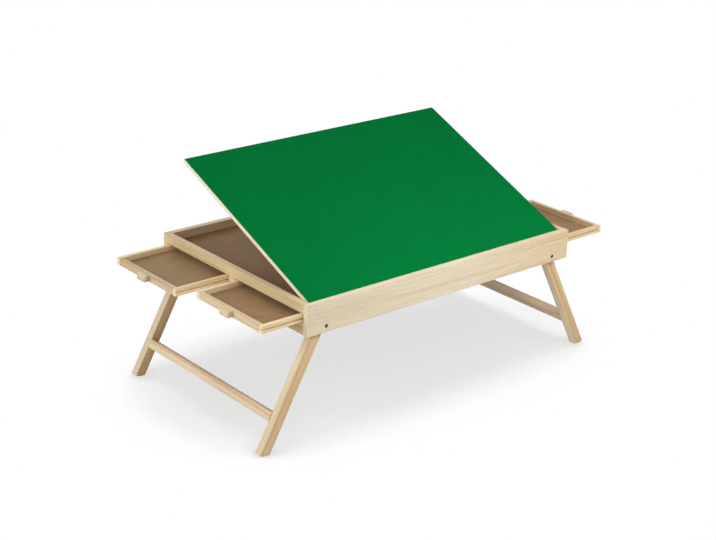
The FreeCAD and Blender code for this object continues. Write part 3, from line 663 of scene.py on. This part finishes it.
# a head's grid, closer together where the cross recess is; shares of its radius
CROSS_LINES = (-1.0, -0.92, -0.80, -0.66, -0.58, -0.40, -0.22, -0.15, -0.08, 0.0,
               0.08, 0.15, 0.22, 0.40, 0.58, 0.66, 0.80, 0.92, 1.0)
CROSS_HALF_WIDTH = 0.15
CROSS_REACH = 0.62
CROSS_SLOPE = 2.2                       # how steeply the recess's walls fall,
CROSS_LIP = 0.25                        # from a sharp lip of this share of its depth
UNDERHEAD = (0.62, 0.38)                # shares of the radius: width and depth under the head
HINGE_SCREW = {"radius": 2.5 * MM, "proud": 0.09 * MM, "edge": 0.02 * MM, "recess": 0.5 * MM}
GUIDE_SCREW = {"radius": 2.9 * MM, "proud": 0.30 * MM, "edge": 0.05 * MM, "recess": 0.7 * MM}
PAN_SCREW = {"radius": 2.3 * MM, "proud": 1.25 * MM, "edge": 0.70 * MM, "recess": 0.9 * MM}

HINGE_PLACES = (-290.0 * MM, 0.0, 290.0 * MM)
HINGE_SCREW_STEP = 17.0 * MM            # between the screws of a leaf
HINGE_SCREW_BACK = 9.6 * MM             # behind the hinge's axis
LEAF_LIFT = 0.1 * MM                    # a leaf's inner face, off the axis
GUIDE_SCREW_X = 198.0 * MM
GUIDE_SCREW_STEP = 30.0 * MM
GUIDE_FLANGE_THICK = 1.2 * MM
BRACKET_X = 183.0 * MM
BRACKET_BACK = 250.0 * MM               # behind the hinge's axis
BRACKET_SCREW_X = 13.2 * MM             # from the bracket's middle
BRACKET_SCREW_Y = 4.4 * MM
# over the axis: a leaf and its lift, then the batten's thickness, less the bracket's base plate
BRACKET_UNDERSIDE = (1.0 + 0.1 + 5.2 - 1.2) * MM
UPSIDE_DOWN = Matrix.Rotation(math.pi, 4, "X")
HINGE_SCREW_SEED = 31
GUIDE_SCREW_SEED = 32
BRACKET_SCREW_SEED = 33


def on_disc(u, v):
    """Point of the unit disc for a point of the square round it."""
    return u * math.sqrt(1.0 - v * v / 2.0), v * math.sqrt(1.0 - u * u / 2.0)


def screw_head(work, place, radius, proud, edge, recess):
    """Head of a wood screw with a cross recess; local Z points out of the wood."""
    rows = []
    for v in CROSS_LINES:
        row = []
        for u in CROSS_LINES:
            x, y = on_disc(u, v)
            out = min(1.0, math.hypot(x, y))
            height = edge + (proud - edge) * (1.0 - out ** 3)
            arm = min(max(abs(u) / CROSS_HALF_WIDTH, abs(v) / CROSS_REACH),
                      max(abs(v) / CROSS_HALF_WIDTH, abs(u) / CROSS_REACH))
            if arm < 1.0:
                height -= recess * min(1.0, CROSS_SLOPE * (1.0 - arm) + CROSS_LIP)
            row.append(work.verts.new(place @ Vector((x * radius, y * radius, height))))
        rows.append(row)
    fill_grid(work, rows)
    last = len(CROSS_LINES) - 1
    rim = rim_places(last, last)
    upper = [rows[j][i] for j, i in rim]
    width, depth = UNDERHEAD
    for grow, height in ((1.0, 0.0), (width, -depth * radius)):
        lower = []
        for j, i in rim:
            x, y = on_disc(CROSS_LINES[i], CROSS_LINES[j])
            spot = Vector((x * radius * grow, y * radius * grow, height))
            lower.append(work.verts.new(place @ spot))
        join_loops(work, upper, lower)
        upper = lower


def spin(dice):
    """A screw comes to rest with its cross at any angle."""
    return Matrix.Rotation(dice.uniform(0.0, math.pi), 4, "Z")


def hinge_screws(steel):
    """Three countersunk screws in each leaf of the three hinges."""
    fixed = bmesh.new()
    moving = bmesh.new()
    dice = random.Random(HINGE_SCREW_SEED)
    y = HINGE.y + HINGE_SCREW_BACK
    for leaf_x in HINGE_PLACES:
        for step in (-1, 0, 1):
            x = leaf_x + step * HINGE_SCREW_STEP
            turn = spin(dice)
            under = Vector((x, y, HINGE.z - LEAF_LIFT))
            over = Vector((x, y, HINGE.z + LEAF_LIFT))
            screw_head(fixed, Matrix.Translation(under) @ turn, **HINGE_SCREW)
            screw_head(moving, tilted(over - HINGE) @ UPSIDE_DOWN @ turn, **HINGE_SCREW)
    finish_metal(fixed, "lower_hinge_screws", steel, "frame", "zinc_steel")
    finish_metal(moving, "upper_hinge_screws", steel, "board", "zinc_steel")


def guide_screws(steel):
    """Three countersunk screws in the flange of each prop guide."""
    work = bmesh.new()
    dice = random.Random(GUIDE_SCREW_SEED)
    low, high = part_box("prop_guides")
    y_middle = (low[1] + high[1]) / 2.0
    for side in (-1, 1):
        for step in (-1, 0, 1):
            spot = (side * GUIDE_SCREW_X, y_middle + step * GUIDE_SCREW_STEP,
                    low[2] + GUIDE_FLANGE_THICK)
            screw_head(work, Matrix.Translation(spot) @ spin(dice), **GUIDE_SCREW)
    finish_metal(work, "guide_screws", steel, "frame", "zinc_steel")


def bracket_screws(steel):
    """Four round-headed screws in the base plate of each prop bracket."""
    work = bmesh.new()
    dice = random.Random(BRACKET_SCREW_SEED)
    for side in (-1, 1):
        for across in (-1, 1):
            for along in (-1, 1):
                spot = Vector((side * BRACKET_X + across * BRACKET_SCREW_X,
                               HINGE.y + BRACKET_BACK + along * BRACKET_SCREW_Y,
                               HINGE.z + BRACKET_UNDERSIDE))
                turn = UPSIDE_DOWN @ spin(dice)
                screw_head(work, tilted(spot - HINGE) @ turn, **PAN_SCREW)
    finish_metal(work, "bracket_screws", steel, "board", "zinc_steel")


# ---- washers and knurled nuts ----

BOLT_X = 340.0 * MM
BOLT_Z = 266.0 * MM
WASHER_Y = 248.95 * MM                  # a washer's outer face, against the apron
WASHER_BORE = 2.6 * MM
WASHER_RADIUS = 6.0 * MM
WASHER_THICK = 0.9 * MM
WASHER_EASE = 0.18 * MM
WASHER_SIDES = 40
NUT_START = 207.3 * MM                  # the guide's outer face, from the table's middle
NUT_BORE = 2.5 * MM
NUT_COLLAR = 0.9 * MM                   # length of the plain collar at a nut's inner end
NUT_EASE = 0.5 * MM
COLLAR_SHARE = 0.62                     # the collar's radius is this share of the nut's,
COLLAR_MORE = 0.9 * MM                  # and this much more
KNURLS = 36
KNURL_DEPTH = 0.28 * MM
RIM_TOLERANCE = 0.1 * MM                # radii this close to the nut's own are knurled


def turned_ring(work, place, profile, segments, wobble=None):
    """Turn a closed (radius, height) profile about local Z; wobble may shift each step's radii."""
    loops = []
    for k in range(segments):
        angle = 2.0 * math.pi * k / segments
        loop = []
        for radius, height in profile:
            shown = radius if wobble is None else wobble(radius, k)
            spot = Vector((shown * math.cos(angle), shown * math.sin(angle), height))
            loop.append(work.verts.new(place @ spot))
        loops.append(loop)
    for k, loop in enumerate(loops):
        join_loops(work, loop, loops[(k + 1) % segments])


def leg_washers(zinc):
    """Four washers on the bolts between the aprons and the legs."""
    inner, outer, thick, ease = WASHER_BORE, WASHER_RADIUS, WASHER_THICK, WASHER_EASE
    profile = [(inner, ease), (inner + ease, 0.0), (outer - ease, 0.0), (outer, ease),
               (outer, thick - ease), (outer - ease, thick), (inner + ease, thick),
               (inner, thick - ease)]
    work = bmesh.new()
    for bolt_x in (-BOLT_X, BOLT_X):
        for side in (-1, 1):
            spot = (bolt_x, side * WASHER_Y, BOLT_Z)
            place = Matrix.Translation(spot) @ axes_from(Vector((0, -side, 0)))
            turned_ring(work, place, profile, WASHER_SIDES)
    finish_metal(work, "leg_washers", zinc, "frame", "zinc_steel")


def thumb_nuts(brass):
    """Knurled brass nuts on the ends of the prop's foot rod."""
    work = bmesh.new()
    low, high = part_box("prop_thumb_nuts")
    y = (low[1] + high[1]) / 2.0
    z = (low[2] + high[2]) / 2.0
    outer = (high[2] - low[2]) / 2.0
    length = high[0] - NUT_START
    collar = COLLAR_SHARE * outer + COLLAR_MORE
    profile = [(NUT_BORE, 0.0), (collar, 0.0), (collar, NUT_COLLAR),
               (outer - NUT_EASE, NUT_COLLAR), (outer, NUT_COLLAR + NUT_EASE),
               (outer, length - NUT_EASE), (outer - NUT_EASE, length),
               (NUT_BORE + NUT_EASE, length), (NUT_BORE, length - NUT_EASE)]

    def knurled(radius, step):
        on_rim = radius > outer - RIM_TOLERANCE
        return radius - KNURL_DEPTH if on_rim and step % 2 else radius

    for side in (-1, 1):
        place = Matrix.Translation((side * NUT_START, y, z)) @ axes_from(Vector((side, 0, 0)))
        turned_ring(work, place, profile, 2 * KNURLS, knurled)
    nuts = finish_metal(work, "knurled_nuts", brass, "prop", "brass")
    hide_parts("prop_thumb_nuts")


# ---- studio ----

FLOOR_SIZE = 40.0
FLOOR_COLOUR = (0.905, 0.915, 0.935, 1.0)  # of the light that it throws back on the object
LAMP_SHADE_SHOWN = 0.15                 # share of the lamps' own shade on the floor that is seen
SOFT_SHADE = 0.205                      # how much the soft shade under the table darkens the white
SHADE_REACH = 0.45                      # how far the floor feels what stands over it
SHADE_STARTS = 0.22                     # covered share of the sky at which the shade begins,
SHADE_FULL = 0.365                      # and at which it is full
WORLD_LEVEL = 0.16                      # strength of the even light that falls on the object
LAMPS = {
    # name: (place, aim, width, height, watts)
    "front_strip_lamp": ((0.1, -0.80, 0.78), (0.1, -0.2, 0.3), 1.3, 0.25, 3.1),
    "front_right_lamp": ((0.42, -1.15, 1.3), (0.1, -0.2, 0.3), 0.9, 0.7, 6.4),
    "front_left_lamp": ((-1.3, -1.6, 1.5), (0.0, 0.0, 0.3), 1.4, 1.2, 2.2),
    "left_lamp": ((-2.2, -0.6, 1.15), (-0.1, 0.0, 0.25), 1.6, 1.0, 6.8),
    "low_left_lamp": ((-2.2, 0.4, 1.15), (-0.2, 0.0, 0.25), 1.8, 1.2, 26.0),
    "top_lamp": ((0.0, 0.1, 2.6), (0.0, 0.0, 0.2), 2.0, 1.8, 4.2),
    "right_lamp": ((2.2, -0.4, 1.4), (0.0, 0.0, 0.3), 1.6, 1.2, 7.0),
    "back_lamp": ((0.3, 2.0, 1.6), (0.0, 0.0, 0.3), 1.8, 1.2, 14.0),
}


def seen_out(tree):
    """1 for rays from the camera, and for those mirrored or bent on their way to it."""
    path = add(tree, "ShaderNodeLightPath").outputs
    mirrored = math_out(tree, "MAXIMUM", path["Is Glossy Ray"], path["Is Transmission Ray"])
    return math_out(tree, "MAXIMUM", path["Is Camera Ray"], mirrored)


def studio_floor():
    """Pale plain floor; it looks white to the camera and keeps the object's shade."""
    bpy.ops.mesh.primitive_plane_add(size=FLOOR_SIZE, location=(0, 0, 0))
    floor = bpy.context.object
    floor.name = "studio_floor"
    material, tree, shader = new_tree("studio_floor")
    tree.nodes.remove(shader)
    open_sky = add(tree, "ShaderNodeAmbientOcclusion", {"Distance": SHADE_REACH}, samples=16)
    covered = math_out(tree, "SUBTRACT", 1.0, open_sky.outputs["AO"])
    shaded = range_out(tree, covered, SHADE_STARTS, SHADE_FULL, 0.0, 1.0,
                       interpolation_type="SMOOTHSTEP")
    matt = add(tree, "ShaderNodeBsdfDiffuse", {"Color": FLOOR_COLOUR}).outputs[0]
    white = mix_out(tree, shaded, grey(1.0), grey(1.0 - SOFT_SHADE))
    white = add(tree, "ShaderNodeEmission", {"Color": white, "Strength": 1.0}).outputs[0]
    lamp_shade = math_out(tree, "MULTIPLY", shaded, LAMP_SHADE_SHOWN)
    share = math_out(tree, "MULTIPLY", seen_out(tree), math_out(tree, "SUBTRACT", 1.0, lamp_shade))
    mixed = add(tree, "ShaderNodeMixShader", {0: share, 1: matt, 2: white}).outputs[0]
    feed(tree, tree.nodes["Material Output"], {"Surface": mixed})
    floor.data.materials.append(material)


def studio_world():
    """Even soft light all round, white to the camera."""
    world = bpy.data.worlds.new("studio")
    bpy.context.scene.world = world
    world.use_nodes = True
    tree = world.node_tree
    strength = range_out(tree, seen_out(tree), 0.0, 1.0, WORLD_LEVEL, 1.0)
    feed(tree, tree.nodes["Background"], {"Color": grey(1.0), "Strength": strength})


def lamps():
    """Soft area lamps round and over the table."""
    for name, (place, aim, width, height, watts) in LAMPS.items():
        data = bpy.data.lights.new(name, "AREA")
        data.shape = "RECTANGLE"
        data.size = width
        data.size_y = height
        data.energy = watts
        lamp = bpy.data.objects.new(name, data)
        lamp.location = place
        lamp.rotation_euler = (Vector(aim) - Vector(place)).to_track_quat("-Z", "Y").to_euler()
        bpy.context.scene.collection.objects.link(lamp)


def camera():
    """Camera from azimuth, elevation and roll, looking past the aim point."""
    sin_az, cos_az = math.sin(CAMERA_AZIMUTH), math.cos(CAMERA_AZIMUTH)
    sin_el, cos_el = math.sin(CAMERA_ELEVATION), math.cos(CAMERA_ELEVATION)
    sin_roll, cos_roll = math.sin(CAMERA_ROLL), math.cos(CAMERA_ROLL)
    forward = Vector((sin_az * cos_el, cos_az * cos_el, -sin_el))
    level_right = Vector((cos_az, -sin_az, 0))
    level_up = level_right.cross(forward)
    right = cos_roll * level_right + sin_roll * level_up
    up = cos_roll * level_up - sin_roll * level_right
    place = AIM - AIM_RIGHT * right - AIM_UP * up - CAMERA_DISTANCE * forward
    data = bpy.data.cameras.new("camera")
    data.lens = CAMERA_LENS
    data.sensor_width = SENSOR_WIDTH
    eye = bpy.data.objects.new("camera", data)
    axes = Matrix((right, up, -forward)).transposed()
    eye.matrix_world = Matrix.Translation(place) @ axes.to_4x4()
    bpy.context.scene.collection.objects.link(eye)
    bpy.context.scene.camera = eye


bpy.context.scene.view_settings.view_transform = "Standard"
dress_woodwork()
dress_hardboard()
dress_metal()
felt_sheet()
studio_floor()
studio_world()
lamps()
camera()
